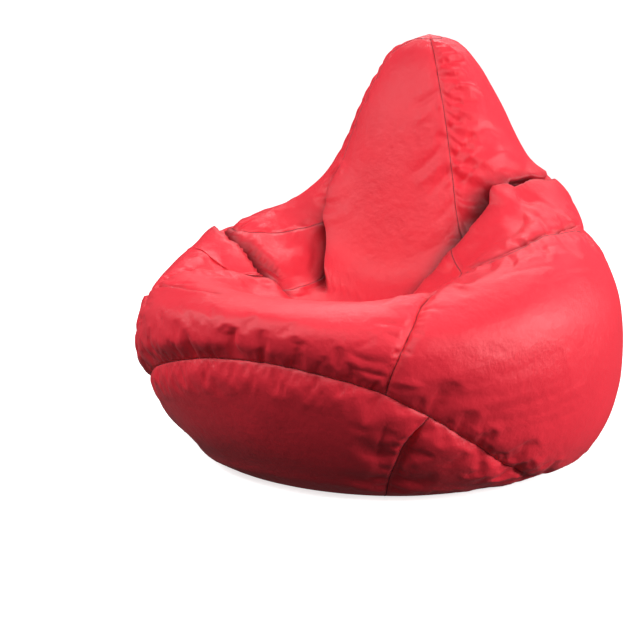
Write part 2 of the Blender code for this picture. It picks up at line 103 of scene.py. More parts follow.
SEAM_MID_LEFT = (
    (-180, 10), (-110, 10), (-90, 10.3), (-78, 11), (-68, 12), (-58, 13.3), (-47, 14.5),
)
CORNER_RIGHT, CORNER_LEFT = (35.5, 12.3), (-42.0, 14.5)  # angle at the base seam, row at the mid seam
GORE_RIGHT, GORE_LEFT = 46.0, -52.0  # where the two base seams leave the base seam ring
FLOOR_ANGLES = ((-180, -180), (-52, -41), (-42, -33), (35.5, 25), (46, 34), (180, 180))
DISC_ROW, MID_REAR_ROW, TOP_ROW = 2.0, 10.0, 19.55
ZIP_ROWS, ZIP_OPENING, ZIP_FLAT = (7.0, 10.0), 5.6 * MM, 0.07  # the slot, and the calm cloth beside it
ZIP_END = 0.05  # rows over which the slot closes at its foot

# Cells of the simulated cover, which is made finer afterwards
CENTRE_COLUMNS, SIDE_COLUMNS, GORE_COLUMNS = 76, 100, 7
BASE_ROWS, LOWER_ROWS, UPPER_ROWS, TIP_ROWS = 22, 56, 66, 8
FINER = 2


# -------- the bag's surface


def smooth(x, knots):
    """A curve through the knots that doesn't overshoot them."""
    xs, ys = np.array(knots, float).T
    step = np.diff(xs)
    slope = np.diff(ys) / step
    tangent = np.r_[slope[0], np.zeros(len(slope) - 1), slope[-1]]
    turning = slope[:-1] * slope[1:] > 0
    total = np.where(turning, slope[:-1] + slope[1:], 1)
    tangent[1:-1] = np.where(turning, 2 * slope[:-1] * slope[1:] / total, 0)
    x = np.clip(x, xs[0], xs[-1])
    i = np.clip(np.searchsorted(xs, x, side="right") - 1, 0, len(xs) - 2)
    t, h = (x - xs[i]) / step[i], step[i]
    return (
        ys[i] * (1 + 2 * t) * (1 - t) ** 2
        + tangent[i] * h * t * (1 - t) ** 2
        + ys[i + 1] * t * t * (3 - 2 * t)
        + tangent[i + 1] * h * t * t * (t - 1)
    )


def through(rows, at):
    """Catmull-Rom through rows of numbers, at fractional rows."""
    last = len(rows) - 1
    i = np.clip(np.floor(at).astype(int), 0, last - 1)
    t = (at - i)[..., None]
    a, b, c, d = (rows[np.clip(i + k, 0, last)] for k in (-1, 0, 1, 2))
    return 0.5 * (
        2 * b + (c - a) * t + (2 * a - 5 * b + 4 * c - d) * t**2 + (3 * b - a - 3 * c + d) * t**3
    )


def surface(angle, row):
    """Points on the outside of the plain bag."""
    low, high = (0,) * 9, (TIP[0], TIP[1], TIP[0], TIP[1], 0, 0, TIP[1], TIP[1], TIP[0])
    outline = np.moveaxis(through(np.array([low, *OUTLINE, high]), row), -1, 0)
    front_y, front_z, rear_y, rear_z, left, right, left_z, right_z, side_y = outline
    s, c = np.sin(np.radians(angle)), np.cos(np.radians(angle))
    half = np.where(s > 0, right, left)
    side_z = np.where(s > 0, right_z, left_z)
    end_y, end_z = np.where(c > 0, front_y, rear_y), np.where(c > 0, front_z, rear_z)
    x = half * np.sign(s) * np.abs(s) ** 0.94
    y = side_y + (end_y - side_y) * np.abs(c) ** 0.94
    z = side_z + (end_z - side_z) * np.abs(c) ** 1.6
    return np.stack([x, y, np.maximum(z, 0)], -1)


def unit(vectors):
    return vectors / np.maximum(np.linalg.norm(vectors, axis=-1, keepdims=True), 1e-12)


def normals_at(angle, row):
    """Unit normals out of the plain bag."""
    round_it = surface(angle + 1.5, row) - surface(angle - 1.5, row)
    up_it = surface(angle, np.minimum(row + 0.12, 19.9)) - surface(angle, row - 0.12)
    return unit(np.cross(round_it, up_it))


def blend(bottom, top, left, right):
    """Angles and rows inside a four-sided panel from those along its edges (Coons)."""
    s = np.linspace(0, 1, len(bottom))[:, None, None]
    t = np.linspace(0, 1, len(left))[None, :, None]
    across = (1 - t) * bottom[:, None] + t * top[:, None]
    along = (1 - s) * left[None] + s * right[None]
    corners = (
        (1 - s) * (1 - t) * bottom[0] + s * (1 - t) * bottom[-1] + (1 - s) * t * top[0] + s * t * top[-1]
    )
    return across + along - corners


def pairs(angle, row):
    return np.stack(np.broadcast_arrays(angle, row), -1).astype(float)


def between(low, high, cells):
    """Angles and rows from one line of them to another, this many cells apart."""
    t = np.linspace(0, 1, cells + 1)[None, :, None]
    return (1 - t) * low[:, None] + t * high[:, None]


def layout():
    """Angles and rows of every panel's grid, by panel name. Neighbours share the points of their seam."""
    near, far = GORE_COLUMNS / SIDE_COLUMNS, np.linspace(0, 1, SIDE_COLUMNS + 1)
    low_right = np.interp(far, (0, near, 1), (CORNER_RIGHT[0], GORE_RIGHT, 180))
    low_left = np.interp(far, (0, 1 - near, 1), (-180, GORE_LEFT, CORNER_LEFT[0]))
    low_centre = np.linspace(CORNER_LEFT[0], CORNER_RIGHT[0], CENTRE_COLUMNS + 1)
    base = [pairs(a, smooth(a, SEAM_BASE)) for a in (low_left, low_centre, low_right)]

    seam_low, seam_high = [], []
    for seam, start, corner in (
        (SEAM_LEFT, base[1][0], CORNER_LEFT[1]),
        (SEAM_RIGHT, base[1][-1], CORNER_RIGHT[1]),
    ):
        rows = np.linspace(start[1], corner, LOWER_ROWS + 1)
        seam_low.append(np.concatenate([start[None], pairs(smooth(rows, seam), rows)[1:]]))
        rows = np.linspace(corner, TOP_ROW, UPPER_ROWS + 1)
        seam_high.append(pairs(smooth(rows, seam), rows))
    rear_low = np.linspace(base[0][0, 1], MID_REAR_ROW, LOWER_ROWS + 1)
    rear_high = np.linspace(MID_REAR_ROW, TOP_ROW, UPPER_ROWS + 1)

    mid = []
    for seam, low, high in (
        (SEAM_MID_LEFT, -180, seam_low[0][-1, 0]),
        (SEAM_MID_RIGHT, seam_low[1][-1, 0], 180),
    ):
        angle = np.linspace(low, high, SIDE_COLUMNS + 1)
        mid.append(pairs(angle, smooth(angle, seam)))
    top = [
        pairs(np.linspace(a, b, n + 1), TOP_ROW)
        for a, b, n in (
            (-180, seam_high[0][-1, 0], SIDE_COLUMNS),
            (seam_high[0][-1, 0], seam_high[1][-1, 0], CENTRE_COLUMNS),
            (seam_high[1][-1, 0], 180, SIDE_COLUMNS),
        )
    ]
    whole = [np.concatenate([low, high[1:]]) for low, high in zip(seam_low, seam_high)]
    panels = {
        "lower_panel_left": blend(base[0], mid[0], pairs(-180, rear_low), seam_low[0]),
        "lower_panel_right": blend(base[2], mid[1], seam_low[1], pairs(180, rear_low)),
        "upper_panel_left": blend(mid[0], top[0], pairs(-180, rear_high), seam_high[0]),
        "upper_panel_right": blend(mid[1], top[2], seam_high[1], pairs(180, rear_high)),
        "centre_panel": blend(base[1], top[1], *whole),
    }
    rim = np.concatenate([base[0], base[1][1:], base[2][1:]])
    disc = pairs(np.interp(rim[:, 0], *np.array(FLOOR_ANGLES, float).T), DISC_ROW)
    skirt = between(disc, rim, BASE_ROWS)
    first, last = SIDE_COLUMNS - GORE_COLUMNS, SIDE_COLUMNS + CENTRE_COLUMNS + GORE_COLUMNS
    panels["base_left"] = skirt[: first + 1]
    panels["base_front"] = skirt[first : last + 1]
    panels["base_right"] = skirt[last:]
    ring = np.concatenate([top[0], top[1][1:], top[2][1:]])
    panels["tip_cap"] = between(ring, pairs(ring[:, 0], 20.0), TIP_ROWS)
    return panels


# -------- helpers on grids of points


def finer(grid, times=FINER):
    """The grid with each cell split, on smooth curves through its points."""
    for axis in (0, 1):
        lines = np.moveaxis(grid, axis, 0)
        ends = 2 * lines[[0, -1]] - lines[[1, -2]]
        padded = np.concatenate([ends[:1], lines, ends[1:]])
        at = np.linspace(1, len(lines), (len(lines) - 1) * times + 1)
        shape = padded.shape
        flat = through(padded.reshape(shape[0], -1), at)
        grid = np.moveaxis(flat.reshape(len(at), *shape[1:]), 0, axis)
    return grid


def chance(cell, seed):
    """A number from -1 to 1 for each whole-numbered cell, always the same one."""
    mixed = (cell * np.array((73856093, 19349663, 83492791))).sum(-1) + seed * 2654435761
    mixed = ((mixed ^ (mixed >> 13)) * 1274126177) & 0xFFFFFFFF
    return ((mixed ^ (mixed >> 15)) & 0xFFFF) / 32767.5 - 1


def noise(points, size, seed=0):
    """Smooth noise from -1 to 1 with lumps of the given size."""
    at = points / size + 1000.0
    cell = np.floor(at).astype(np.int64)
    t = at - cell
    t = t * t * t * (t * (t * 6 - 15) + 10)
    total = 0.0
    for corner in itertools.product((0, 1), repeat=3):
        weight = np.prod(np.where(corner, t, 1 - t), axis=-1)
        total = total + weight * chance(cell + np.array(corner), seed)
    return total


def creased(points, size, seed=0):
    """Noise with sharp ridge lines, from 0 in the hollows to 1 on the ridges."""
    bent = points + size * 0.35 * np.stack([noise(points, size * 0.8, seed + k) for k in (1, 2, 3)], -1)
    return (1 - np.abs(noise(bent, size, seed))) ** 3


def step(low, high, x):
    t = np.clip((x - low) / (high - low), 0, 1)
    return t * t * (3 - 2 * t)


# -------- objects and materials


def mesh_object(name, points, faces, look):
    mesh = bpy.data.meshes.new(name)
    mesh.from_pydata([tuple(point) for point in points], [], faces)
    mesh.validate()
    mesh.materials.append(look)
    mesh.shade_smooth()
    obj = bpy.data.objects.new(name, mesh)
    bpy.context.scene.collection.objects.link(obj)
    return obj


def quads(indices, flip=False):
    """Faces between the neighbours of a grid of vertex indices, with repeated corners dropped."""
    a, b, c, d = indices[:-1, :-1], indices[1:, :-1], indices[1:, 1:], indices[:-1, 1:]
    found = np.stack([a, b, c, d], -1).reshape(-1, 4)
    if flip:
        found = found[:, ::-1]
    corners = (tuple(dict.fromkeys(face)) for face in found.tolist())
    return [face for face in corners if len(face) > 2]


# -------- the simulated cover


def welded(panels):
    """The panels' points without repeats: angle and row of each, and each panel's grid of indices."""
    flat = np.concatenate([grid.reshape(-1, 2) for grid in panels.values()])
    key = flat.copy()
    key[:, 0] = (key[:, 0] + 180) % 360
    key[flat[:, 1] > 19.999] = (0, 20)
    _, first, index = np.unique(np.round(key, 5), axis=0, return_index=True, return_inverse=True)
    index, start, grids = index.reshape(-1), 0, {}
    for name, grid in panels.items():
        count = grid.shape[0] * grid.shape[1]
        grids[name] = index[start : start + count].reshape(grid.shape[:2])
        start += count
    return flat[first], grids


def weights(obj, name, values):
    group = obj.vertex_groups.new(name=name)
    levels = np.round(values * 50).astype(int)
    for level in np.unique(levels):
        group.add(np.nonzero(levels == level)[0].tolist(), level / 50, "REPLACE")


SIM_FRAMES, SIM_PRESSURE, SIM_HOLD, SIM_CAP = 24, 3.0, 0.15, 22 * MM
SIM_NEUTRAL, SIM_FIRM = 0.42, 0.85  # weights of cloth that keeps its size, and of nearly the tightest
BACKREST_FOOT = 13.5  # row


def simulated(points, faces, hold, seams):
    """Blender's Cloth on the whole cover: seams a little short, cloth a little long, beads pressing out."""
    obj = mesh_object("cover_sim", points, faces, bpy.data.materials.new("cover_sim"))
    weights(obj, "hold", hold)
    weights(obj, "seams", seams)
    cloth = obj.modifiers.new("Cloth", "CLOTH")
    made = cloth.settings
    made.quality, made.mass = 5, 0.15
    made.tension_stiffness, made.compression_stiffness = 40, 40
    made.shear_stiffness, made.bending_stiffness = 15, 3.0
    made.vertex_group_mass, made.pin_stiffness = "hold", 1.0
    made.vertex_group_shrink, made.shrink_min, made.shrink_max = "seams", -0.022, 0.03
    made.use_pressure, made.uniform_pressure_force = True, SIM_PRESSURE
    made.effector_weights.gravity = 0
    cloth.collision_settings.use_collision = False
    cloth.point_cache.frame_start, cloth.point_cache.frame_end = 1, SIM_FRAMES
    scene = bpy.context.scene
    for number in range(1, SIM_FRAMES + 1):
        scene.frame_set(number)
    evaluated = obj.evaluated_get(bpy.context.evaluated_depsgraph_get())
    moved = np.empty(len(points) * 3, np.float32)
    evaluated.data.vertices.foreach_get("co", moved)
    scene.frame_set(1)
    mesh = obj.data
    bpy.data.objects.remove(obj)
    bpy.data.meshes.remove(mesh)
    shift = moved.reshape(-1, 3) - points
    length = np.linalg.norm(shift, axis=1, keepdims=True)
    return points + shift * np.tanh(length / SIM_CAP) * SIM_CAP / np.maximum(length, 1e-9)


# -------- folds

# Large overlaps, each along a route of (angle, row) points with the raised cloth on its left hand: rise of
# that side and drop of the other, the width of each and how far the raised side leans over, all in mm.
LAPS = (
    # right arm over the upper panel
    (16, 56, 50, 24, 14, ((136, 11.7), (121, 12.3), (104, 13.5), (88, 13.95), (76, 14.15), (66, 14.2))),
    (22, 66, 66, 24, 16, (
        (88, 14), (75, 14.1), (60, 13.85), (49, 13.7), (40, 13.5), (30, 13.2), (16, 12.9),
    )),
    # the upper panel's edge, which leans over the same gap from above
    (14, 26, 45, 18, 18, ((64, 14.75), (78, 14.75), (92, 14.6), (106, 14.15), (122, 12.95), (138, 12.2))),
    (6, 22, 34, 16, 14, ((34, 13.75), (42, 13.95), (50, 14.1), (60, 14.3), (72, 14.6), (84, 14.75))),
    # right arm's lower panel over its mid seam
    (5, 22, 30, 14, 6, ((116, 10.45), (100, 10.8), (84, 11.12), (73, 11.22), (61, 11.52), (51, 12.2))),
    # left arm over the wall, and the wall's edge behind it
    (16, 56, 34, 26, 14, (
        (-22, 12.5), (-35, 12.05), (-44, 11.9), (-55, 11.6), (-61, 11.2), (-75, 10.3), (-86, 9.8),
    )),
    (8, 16, 40, 18, 12, ((-86, 10.3), (-75, 10.8), (-61, 11.75), (-55, 12.15), (-44, 12.5), (-35, 12.65))),
    # backrest over the wall, and the end of the roll
    (14, 40, 50, 30, 14, (
        (-58, 15.6), (-52, 15), (-47, 14.5), (-40, 14.3), (-34, 14), (-27, 13.6), (-18, 13.2),
    )),
    (6, 20, 18, 15, 6, ((-10, 8.7), (-19, 8.4), (-32, 8.35), (-40, 7.9), (-50, 7.4), (-58, 7.2))),
)
LAP_EDGE, FULL_SHADE_DROP = 6.0, 40  # mm over which a lap's edge turns down, and drop at which a lap's groove gets the full painted shade
# Grooves, below zero, and ridges: height and width in mm, and the route
CREASES = (
    (-24, 36, ((108, 13.2), (95, 13.5), (87, 12.9), (78, 12.4), (68, 11.9))),
    # right of the seat: the lip of the arm, and a pinch beside the seam's end
    (7, 9, ((60, 14.2), (68, 14.25), (77, 14.1))),
    (-6, 8, ((45, 11), (48, 10.4), (52, 9.8))),
    (3, 10, ((44, 10.6), (48, 10), (53, 9.4))),
    # long shallow folds that fan out over the right arm
    (-1.5, 9, ((36, 5.4), (46, 6.1), (65, 7.1), (80, 7.7))),
    (1.2, 9, ((37, 5.7), (47, 6.5), (62, 7.4), (76, 8))),
    (-1.1, 9, ((38, 5.3), (49, 5.9), (70, 6.8), (84, 7.2))),
    (-1.5, 8, ((47, 5.15), (58, 5.9), (74, 6.6), (88, 7))),
    (1.2, 8, ((49, 5.5), (60, 6.2), (72, 6.9), (86, 7.3))),
    (-1.5, 8, ((51, 5.1), (61, 5.7), (78, 6.4), (90, 6.7))),
    (-1.1, 9, ((57, 4.95), (67, 5.7), (80, 6.2), (90, 6.4))),
    # puckers where the base seam dips to the floor
    (-3, 7, ((64, 4.4), (68, 5), (74, 5.7))),
    (-3, 7, ((69, 4.1), (74, 4.8), (80, 5.4))),
    (-3, 7, ((74, 3.8), (79, 4.6), (85, 5.2))),
    # the fold beside the front gore seam
    (-9, 9, ((45, 4.9), (43.5, 4.3), (41, 3.4), (38, 2.5))),
    (5, 9, ((44, 5), (41.5, 4.4), (38.5, 3.4), (36, 2.6))),
    (-6, 9, ((37, 4.7), (36, 4), (34, 3))),
    # the roll's foot, puffed out over the base seam
    (8, 28, ((-66, 5.3), (-40, 5.35), (-15, 5.5), (5, 5.6), (24, 5.75))),
    # pinches on the roll's front
    (-8, 8, ((1, 4.9), (1, 5.3), (0.5, 5.8), (1.5, 6.4))),
    (-5, 8, ((-11, 4.8), (-11, 5.2), (-12, 5.8))),
    (-4, 8, ((-5, 4.9), (-5, 5.2), (-4, 5.7))),
    (-4, 9, ((7, 4.9), (7, 5.2), (8, 5.8))),
    (-4, 9, ((14, 5), (15, 5.4), (15, 5.9))),
    (-3, 8, ((34, 7.7), (36, 8.1), (39, 8.5))),
    (-3, 7, ((34, 7.1), (36, 7.5), (38, 7.8))),
    (-4, 8, ((24, 6.4), (30, 6.2), (36, 6.4))),
    # backrest, towards the right seam
    (-4, 9, ((2, 17.35), (14, 17.45), (26, 17.65), (36, 17.85))),
    (2.5, 9, ((8, 17), (18, 17.15), (30, 17.4))),
    (-3.5, 10, ((8, 16), (22, 16.25), (38, 16.65))),
    (2.5, 10, ((12, 15.75), (25, 16), (38, 16.25))),
    (-3, 9, ((20, 15.5), (32, 15.8), (42, 16.1))),
    (-3, 9, ((26, 14.9), (35, 15.1), (44, 15.3))),
    (-3.5, 10, ((16, 14.45), (32, 14.4), (44, 14.75))),
    # upper right panel
    (-10, 8, ((29, 18.35), (45, 18.5), (68, 18.6), (90, 18.5))),
    (7, 6, ((31, 18.1), (52, 18.2), (74, 18.1))),
    (8, 5, ((33, 17.5), (52, 17.8), (74, 17.75), (96, 17.4))),
    (-8, 7, ((35, 17.25), (58, 17.45), (80, 17.3))),
    (-5, 6, ((34, 16.8), (44, 16.9), (58, 17.15))),
    (-8, 7, ((36, 16.15), (50, 16.35), (66, 16.7))),
    (7, 5, ((36, 15.9), (50, 16.05), (68, 16.35))),
    (-6, 7, ((38, 15.5), (50, 15.65), (60, 15.9))),
    (-9, 17, ((41, 15), (58, 15.2), (80, 15.2), (104, 14.6), (124, 13.8))),
    (8, 18, ((42, 15.4), (60, 15.7), (84, 15.7), (108, 15.2))),
    (-5, 10, ((60, 16.6), (80, 16.6), (104, 16))),
    # upper end of the left wall, its foot and the soft band beside the backrest
    (8, 10, ((-27, 12.55), (-33, 12.3), (-40, 12.2))),
    (-7, 9, ((-25, 12.8), (-32, 12.6), (-38, 12.6), (-44, 12.8))),
    (-7, 22, ((-56, 13.9), (-46, 13.7), (-36, 13.3), (-26, 13))),
    (4, 20, ((-60, 13.2), (-50, 13.1), (-40, 12.9))),
    (-5, 8, ((-52, 14.2), (-56, 13.7), (-62, 13.4))),
    # left arm
    (-3, 7, ((-48, 8.9), (-47, 9.5), (-46, 10.2))),
    (3, 8, ((-51, 8.7), (-51, 9.5), (-50, 10.4))),
    (-3, 7, ((-55, 8.8), (-55, 9.6), (-53, 10.5))),
    (-3, 7, ((-59, 9.2), (-60, 9.9), (-58, 10.7))),
    (-5, 7, ((-34, 8.7), (-30, 9), (-25, 9.2))),
    (5, 8, ((-36, 8.4), (-31, 8.65), (-24, 8.8))),
    # right arm, under its seam
    (-3, 7, ((62, 10.5), (76, 10.6), (90, 10.2))),
    (2.5, 7, ((60, 10.1), (74, 10.2), (90, 9.8))),
    (-2.5, 7, ((56, 9.9), (70, 9.8), (84, 9.5))),
    (-3, 7, ((70, 9.2), (84, 9.2), (98, 9))),
)


def route_line(route, per_leg=14):
    """Points, left-hand directions and share of its length along a smooth route on the plain bag."""
    at = np.linspace(0, len(route) - 1, (len(route) - 1) * per_leg + 1)
    angle, row = np.moveaxis(through(np.array(route, float), at), -1, 0)
    line = surface(angle, row)
    left = unit(np.cross(normals_at(angle, row), np.gradient(line, axis=0)))
    return line, left, np.linspace(0, 1, len(line))


def beside(base, route, reach, ends):
    """The points near the route: index, signed distance in mm, left-hand direction and fade at its ends."""
    line, left, share = route_line(route)
    near = np.nonzero(((base > line.min(0) - reach) & (base < line.max(0) + reach)).all(-1))[0]
    gap = base[near, None] - line[None]
    closest = (gap**2).sum(-1).argmin(1)
    gap = gap[np.arange(len(near)), closest]
    across = (gap * left[closest]).sum(-1)
    distance = np.linalg.norm(gap, axis=-1) * np.where(across < 0, -1, 1)
    fade = step(0, ends, share[closest]) * step(0, ends, 1 - share[closest])
    return near, distance / MM, left[closest], fade


def lapped(base, out):
    """Shift of every point by the large overlaps, and the shade painted into the cloth inside them, 1 where
    it is darkest.
    """
    shift, inside = np.zeros_like(base), np.zeros(len(base))
    for rise, drop, wide_up, wide_down, lean, route in LAPS:
        near, x, left, fade = beside(base, route, 0.12, 0.18)
        up = rise * np.exp(-((x / wide_up) ** 2))
        down = -drop * np.exp(-(np.abs(x / wide_down) ** 1.3))
        over = step(-LAP_EDGE, LAP_EDGE, x)
        height = down + (up - down) * over
        push = lean * np.exp(-((x / (0.5 * wide_up)) ** 2)) * over
        shift[near] += (out[near] * (fade * height)[:, None] - left * (fade * push)[:, None]) * MM
        lap_shade = np.exp(-(((x + 0.42 * drop) / (0.46 * drop)) ** 2))  # painted shade down the lap's groove, widest where the lap is tall
        lap_shade *= fade * min(1, drop / FULL_SHADE_DROP)
        inside[near] = np.maximum(inside[near], lap_shade)
    return shift, inside


def creasing(base, out, creases):
    """Shift of every point by grooves and ridges, whose width wavers a little along them."""
    shift = np.zeros_like(base)
    for height, width, route in creases:
        near, x, _, fade = beside(base, route, max(0.06, 3 * width * MM), 0.4)
        bend = noise(base[near], 0.03, 5) * 0.35 + 1
        profile = np.exp(-(np.abs(x / (width * bend)) ** 1.5))
        shift[near] += out[near] * (fade * height * profile * MM)[:, None]
    return shift


def stray_creases(count=150, seed=7):
    """Small pinches across the seams all round the chair, as packing and sitting leave them."""
    draw = np.random.default_rng(seed)
    found = []
    seams = (
        (lambda t: (smooth(t, SEAM_RIGHT), t), 5.5, 19, 1),
        (lambda t: (smooth(t, SEAM_LEFT), t), 5, 19, 1),
        (lambda t: (180.0, t), 10.5, 19, 1),
        (lambda t: (t, smooth(t, SEAM_MID_RIGHT)), 52, 178, 0),
        (lambda t: (t, smooth(t, SEAM_MID_LEFT)), -178, -50, 0),
        (lambda t: (t, smooth(t, SEAM_BASE)), -178, 178, 0),
    )
    for _ in range(count):
        place, low, high, upright = seams[draw.integers(len(seams))]
        t = draw.uniform(low, high)
        angle, row = place(t)
        length, side, slant = draw.uniform(0.5, 1.0), draw.choice((-1, 1)), draw.uniform(-0.5, 0.5)
        reach = (12 * length * side, slant * 0.5) if upright else (slant * 8, 0.9 * length * side)
        route = [(angle + reach[0] * share, row + reach[1] * share) for share in (-0.15, 0.4, 1)]
        found.append((draw.choice((-1, -1, 1)) * draw.uniform(2, 4.5), draw.uniform(6, 9), route))
    return found


# -------- the cover's final shape

HEM, SEAM_HALF_GAP = 7 * MM, 0.35 * MM
EDGES = "lrbt"  # a panel's left, right, bottom and top edge
LAST_ROW = 19.98  # the tip itself has no normal


def search_tree(points):
    tree = kdtree.KDTree(len(points))
    for i, point in enumerate(points):
        tree.insert(point, i)
    tree.balance()
    return tree


def seam_tree(panels):
    """A search tree of the seams' points on the plain bag."""
    grids = [grid for name, grid in panels.items() if name != "tip_cap"]
    edges = [edge for grid in grids for edge in (grid[0], grid[-1], grid[:, 0])]
    return search_tree(np.concatenate([surface(edge[:, 0], edge[:, 1]) for edge in edges]))


def to_seam(tree, base):
    """Distance of each point to the nearest seam, in mm, and the nearest point of it."""
    found = [tree.find(point) for point in base.reshape(-1, 3)]
    nearest = np.array([item[0] for item in found]).reshape(base.shape)
    return np.array([item[2] for item in found]).reshape(base.shape[:-1]) / MM, nearest


def puckered(base, out, gap, seam):
    """Valley along each seam, the gathers that cross it, and the pillow shape between seams, as a shift."""
    lively = 0.35 + 0.65 * step(-0.3, 0.6, noise(seam, 0.14, 40))
    gathers = 2.4 * noise(seam + 0.12 * (base - seam), 0.016, 41) * np.exp(-gap / 24) * lively
    gathers += 1.1 * noise(seam + 0.1 * (base - seam), 0.0075, 42) * np.exp(-gap / 10)
    gathers *= 1 - 0.6 * np.exp(-gap / 2.5)
    valley = -2.6 * np.exp(-gap / 3.5) - 4 * np.exp(-gap / 30)
    return out * (MM * (gathers + valley))[..., None]


def crumpled(base, out, calm):
    """Low broad dents and fine ridge lines of thin coated cloth, fewer of them where calm is 1."""
    broad = 2.6 * noise(base, 0.16, 50) + 1.1 * noise(base, 0.07, 51)
    patchy = step(-0.1, 0.7, noise(base, 0.22, 52))
    ridges = 1.3 * creased(base * (1, 1, 0.75), 0.075, 60) + 0.6 * creased(base, 0.038, 70)
    return out * (MM * (broad + patchy * ridges) * (1 - 0.6 * calm))[..., None]


def left_edge(angle, row):
    """1 along the smooth left edge of the backrest."""
    return step(14.4, 15.2, row) * np.exp(-(((angle + 55) / 14) ** 2))


def gathered(angle, row):
    """How much of its gathers each seam keeps: less at the backrest's left edge, along the roll's foot
    and on the upper right panel, where the photo shows a few large folds instead."""
    foot = step(3.6, 4.8, row) * step(7.2, 6.0, row) * step(0.3, 0.8, np.cos(np.radians(angle)))
    side = step(20, 42, angle) * step(130, 100, angle)
    right = side * (step(14.2, 15.2, row) + step(9.6, 10.3, row) * step(13.8, 13.0, row))
    return 1 - 0.75 * left_edge(angle, row) - 0.45 * foot - 0.45 * right


def quiet(angle, row):
    """0 where the cloth lies plain, beside the zip and at the floor ring, and 0.4 at the very tip."""
    x = np.abs(surface(angle, row)[..., 0])
    rear = (np.cos(np.radians(angle)) < 0) & (row > 3)
    foot, head = ZIP_ROWS
    along_zip = step(foot - 1, foot - 0.1, row) * (1 - step(head + 0.2, head + 1, row))
    beside_zip = (1 - step(0.5, 1.0, x / ZIP_FLAT)) * along_zip
    ends = step(DISC_ROW, DISC_ROW + 0.5, row) * (1 - 0.6 * step(19.2, 19.8, row))
    return (1 - beside_zip * rear) * ends


def zip_slot(points, angle, row, name):
    """Opens the two lower panels beside the zip."""
    if not name.startswith("lower_panel"):
        return points
    side = -1 if name.endswith("left") else 1
    x = points[..., 0] * side
    rear = np.cos(np.radians(angle)) < -0.9
    share = np.where(rear, step(ZIP_ROWS[0] - ZIP_END, ZIP_ROWS[0] + ZIP_END, row), 0)
    opened = ZIP_OPENING + x * (1 - ZIP_OPENING / ZIP_FLAT)
    points[..., 0] = np.where(x < ZIP_FLAT, x + (opened - x) * share, x) * side
    return points


def hemmed(points, out, edges=EDGES):
    """Draws the named edges back from their seams and folds a hem inwards along them, against out."""
    for edge in edges:
        axis, last = divmod(EDGES.index(edge), 2)
        points, out = np.swapaxes(points, 0, axis).copy(), np.swapaxes(out, 0, axis)
        rim, inner = (-1, -2) if last else (0, 1)
        points[rim] += unit(points[inner] - points[rim]) * SEAM_HALF_GAP
        hem = (points[rim] - out[rim] * HEM)[None]
        points = np.concatenate([points, hem] if last else [hem, points])
        out = np.concatenate([out, out[-1:]] if last else [out[:1], out])
        points, out = np.swapaxes(points, 0, axis), np.swapaxes(out, 0, axis)
    return points


def lengths(points):
    """Length along the grid's two directions to each point, in metres, for the weave."""
    def along(axis):
        steps = np.linalg.norm(np.diff(points, axis=axis), axis=-1)
        first = np.zeros_like(np.take(steps, [0], axis))
        return np.concatenate([first, np.cumsum(steps, axis=axis)], axis=axis)

    across, up = along(0), along(1)
    middle = across.shape[0] // 2
    return np.stack([across - across[middle : middle + 1], up], -1)


def grid_object(name, points, look, fields=None):
    """A panel from its grid of points, with the weave's coordinates and any named fields of values."""
    index = np.arange(points[..., 0].size).reshape(points.shape[:2])
    obj = mesh_object(name, points.reshape(-1, 3), quads(index), look)
    mesh = obj.data
    corner = np.empty(len(mesh.loops), np.int32)
    mesh.loops.foreach_get("vertex_index", corner)
    layer = mesh.uv_layers.new(name="weave")
    layer.data.foreach_set("uv", lengths(points).reshape(-1, 2)[corner].reshape(-1).astype(np.float32))
    for label, field in (fields or {}).items():
        values = mesh.attributes.new(label, "FLOAT", "POINT")
        values.data.foreach_set("value", field.reshape(-1).astype(np.float32))
    return obj


def relaxed_cover(panels):
    """The simulated cover's points, and each panel's grid of indices into them."""
    flat, grids = welded(panels)
    angle, row = flat[:, 0], flat[:, 1]
    start = surface(angle, row)
    faces = [face for grid in grids.values() for face in quads(grid)]
    gap, _ = to_seam(seam_tree(panels), start)
    seams = 1 - step(2, 12, gap) + SIM_NEUTRAL * step(35, 80, gap)
    backrest = grids["centre_panel"][panels["centre_panel"][..., 1] > BACKREST_FOOT]
    seams[backrest] = np.maximum(seams[backrest], SIM_FIRM)
    still = np.maximum(1 - quiet(angle, row), (row > 19.4) | (row < DISC_ROW + 0.3))
    hold = SIM_HOLD + 0.25 * step(15, 17, row)
    hold += (SIM_FIRM - hold) * left_edge(angle, row)
    return simulated(start, faces, hold + (1 - hold) * still, seams), grids


def cover_shape():
    """Final points, angles and rows, distance to the seam and the shade painted inside the laps of every
    panel.
    """
    panels = layout()
    relaxed, grids = relaxed_cover(panels)
    fine = {name: finer(grid) for name, grid in panels.items()}
    tree = seam_tree(fine)
    creases = (*CREASES, *stray_creases())
    shaped = {}
    for name, grid in fine.items():
        angle, row = grid[..., 0], np.minimum(grid[..., 1], LAST_ROW)
        base, out = surface(angle, row), normals_at(angle, row)
        gap, nearest = to_seam(tree, base)
        flat_base, flat_out = base.reshape(-1, 3), out.reshape(-1, 3)
        shift, inside = lapped(flat_base, flat_out)
        shift += creasing(flat_base, flat_out, creases)
        calm = step(12.5, 14, row) * step(10, 40, gap) * (name == "centre_panel")
        shift = shift.reshape(base.shape) + crumpled(base, out, calm)
        shift += puckered(base, out, gap, nearest) * gathered(angle, row)[..., None]
        soft = finer(relaxed[grids[name]]) - base
        points = base + (soft + shift) * quiet(angle, row)[..., None]
        points = zip_slot(points, angle, row, name)
        points[..., 2] = np.maximum(points[..., 2], 0.5 * MM)
        shaped[name] = points, grid, gap, inside.reshape(gap.shape)
    return shaped


# -------- pieces besides the panels

STITCH_LENGTH, STITCH_PITCH, THREAD = 3.5 * MM, 4.4 * MM, 0.65 * MM


